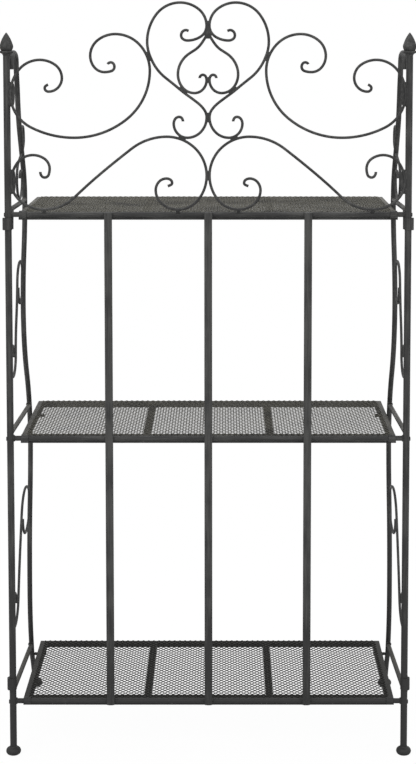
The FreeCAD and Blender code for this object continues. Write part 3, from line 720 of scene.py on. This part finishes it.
class RACK_OT_side_welds(bpy.types.Operator):
    """Welds the scrolls, bars and sleeves of the side frames"""

    bl_idname = "rack.side_welds"
    bl_label = "Side frame welds"

    def execute(self, context):
        weld = context.scene.rack_weld
        blob = bead()
        ring = collar(weld, SIDE_COLLAR_RADIUS)
        for side in SIDES:
            beads = self.scroll_seams(blob, weld, side) + self.bar_welds(blob, ring, side)
            joined(f"{side}_side_welds", beads, f"{side}_side")
        discard(blob, ring)
        return {"FINISHED"}

    def scroll_seams(self, blob, weld, side):
        """Seams between one side's scrolls and its leg, with a stub on either side of the upper crossing."""
        stub = seam_size(weld, width=0.8, length=0.5)
        leg = f"{side}_front_leg"
        beads = []
        for bay in ("middle", "lower"):
            scroll = f"{side}_{bay}_side_scroll"
            place = meeting(scroll, leg)
            beads.append(placed(blob, place, facing(run_of(scroll, place), ACROSS), seam_size(weld)))
        scroll = f"{side}_upper_side_scroll"
        crossing = meeting(scroll, leg).z
        for heights in ({"highest": crossing}, {"lowest": crossing}):
            place = meeting(scroll, leg, **heights)
            beads.append(placed(blob, place, facing(run_of(leg, place), ACROSS), stub))
        return beads

    def bar_welds(self, blob, ring, side):
        """Collars where one side's bars meet its leg, and beads where two of them meet the sleeves."""
        beads = []
        for level in LEVELS:
            bar = f"{side}_{level}_bar"
            end, axis = bar_end(bar, meeting(f"{side}_front_leg", bar))
            beads.append(placed(ring, end, facing(axis)))
        for level in ("top", "bottom"):
            place = meeting(f"{side}_{level}_bar", f"{side}_hinge_sleeves")
            beads.append(placed(blob, place, facing(UP, ACROSS), SLEEVE_BEAD))
        return beads


# Stage: a white floor and sky, three soft lamps and the photo's camera
FLOOR_SIZE = 80.0
FLOOR_DROP = 0.2 * MM
FLOOR_GREY = (0.86, 0.86, 0.86, 1)
FLOOR_GLOW = 0.24
# Share of plain white in the floor that the camera sees beside the rack
NEAR_WHITE = 0.95
# Distances from the rack's middle over which the floor becomes all white
FADE_DISTANCES = (0.5, 1.6)
# Strength of the sky as a light; the camera and reflections see it as plain white
SKY_LIGHT = 0.55
# Name, place, width and power of each lamp
LAMPS = (
    ("key", (-2.2, -3.4, 3.0), 2.4, 70.0),
    ("fill", (2.6, -3.0, 2.2), 2.4, 45.0),
    ("top", (0.0, 0.4, 2.9), 2.2, 26.0),
)
LAMP_TARGET = Vector((0, 0, 0.7))
SENSOR_WIDTH = 36


class RACK_OT_stage(bpy.types.Operator):
    """Sets the floor, the lights and the camera"""

    bl_idname = "rack.stage"
    bl_label = "Stage"

    def execute(self, context):
        self.floor(context)
        self.world(context)
        self.lamps(context)
        self.camera(context)
        context.scene.view_settings.view_transform = "Standard"
        return {"FINISHED"}

    def floor(self, context):
        """A pale floor that catches light from the rack and looks white to the camera."""
        clear_selection()
        bpy.ops.mesh.primitive_plane_add(size=FLOOR_SIZE, location=(0, 0, -FLOOR_DROP))
        floor = context.object
        floor.name = "floor"
        material = bpy.data.materials.new("pale_floor")
        material.use_nodes = True
        finish = Finish(material.node_tree)
        away = finish.node(
            "ShaderNodeVectorMath", {0: finish.coordinates("Object")}, out="Value", operation="LENGTH")
        seen = finish.ray("Is Camera Ray")
        far = seen * (NEAR_WHITE + (1 - NEAR_WHITE) * finish.step(away, *FADE_DISTANCES))
        matt = finish.node("ShaderNodeBsdfDiffuse", {"Color": FLOOR_GREY})
        glow = finish.node("ShaderNodeEmission", {"Color": WHITE, "Strength": seen * FLOOR_GLOW})
        near = finish.node("ShaderNodeAddShader", {0: matt, 1: glow})
        plain = finish.node("ShaderNodeEmission", {"Color": WHITE, "Strength": 1.0})
        both = finish.node("ShaderNodeMixShader", {0: far, 1: near, 2: plain})
        finish.node("ShaderNodeOutputMaterial", {"Surface": both})
        floor.data.materials.append(material)

    def world(self, context):
        """A white sky that lights the rack more softly than it looks."""
        world = bpy.data.worlds.new("studio")
        context.scene.world = world
        world.use_nodes = True
        finish = Finish(world.node_tree)
        seen = finish.ray("Is Camera Ray").or_else(finish.ray("Is Glossy Ray"))
        seen = seen.or_else(finish.ray("Is Transmission Ray"))
        strength = SKY_LIGHT + seen * (1 - SKY_LIGHT)
        sky = finish.node("ShaderNodeBackground", {"Color": WHITE, "Strength": strength})
        finish.node("ShaderNodeOutputWorld", {"Surface": sky})

    def lamps(self, context):
        """Square lamps that point at the rack."""
        for name, place, width, power in LAMPS:
            lamp = bpy.data.lights.new(name, "AREA")
            lamp.energy = power
            lamp.size = width
            thing = bpy.data.objects.new(name, lamp)
            context.collection.objects.link(thing)
            thing.location = place
            aim = LAMP_TARGET - Vector(place)
            thing.rotation_euler = aim.to_track_quat("-Z", "Y").to_euler()

    def camera(self, context):
        """The photo's camera, with its lens shifted."""
        stage = context.scene.rack_stage
        lens = bpy.data.cameras.new("photo_camera")
        camera = bpy.data.objects.new("photo_camera", lens)
        context.collection.objects.link(camera)
        camera.location = stage.camera_place
        camera.rotation_euler = (math.pi / 2 - stage.camera_pitch, 0, 0)
        lens.sensor_width = SENSOR_WIDTH
        lens.lens = stage.focal_pixels * SENSOR_WIDTH / stage.picture_height
        lens.shift_x, lens.shift_y = stage.shift
        context.scene.camera = camera


STEPS = (RACK_OT_finishes, RACK_OT_nets, RACK_OT_back_welds, RACK_OT_side_welds, RACK_OT_stage)
GROUPS = {
    "rack_net": RackNetSettings,
    "rack_weld": RackWeldSettings,
    "rack_finish": RackFinishSettings,
    "rack_stage": RackStageSettings,
}


class RACK_PT_panel(bpy.types.Panel):
    """Lists the steps that dress the rack and their settings"""

    bl_idname = "RACK_PT_panel"
    bl_label = "Bakers rack"
    bl_space_type = "VIEW_3D"
    bl_region_type = "UI"
    bl_category = "Rack"

    def draw(self, context):
        for step in STEPS:
            self.layout.operator(step.bl_idname)
        for name, group in GROUPS.items():
            for setting in group.__annotations__:
                self.layout.prop(getattr(context.scene, name), setting)


def register():
    for name, group in GROUPS.items():
        bpy.utils.register_class(group)
        setattr(bpy.types.Scene, name, PointerProperty(type=group))
    for step in STEPS:
        bpy.utils.register_class(step)
    bpy.utils.register_class(RACK_PT_panel)


def unregister():
    bpy.utils.unregister_class(RACK_PT_panel)
    for step in reversed(STEPS):
        bpy.utils.unregister_class(step)
    for name, group in GROUPS.items():
        delattr(bpy.types.Scene, name)
        bpy.utils.unregister_class(group)


def main():
    register()
    bpy.ops.rack.finishes()
    bpy.ops.rack.nets()
    bpy.ops.rack.back_welds()
    bpy.ops.rack.side_welds()
    bpy.ops.rack.stage()


if __name__ == "__main__":
    main()
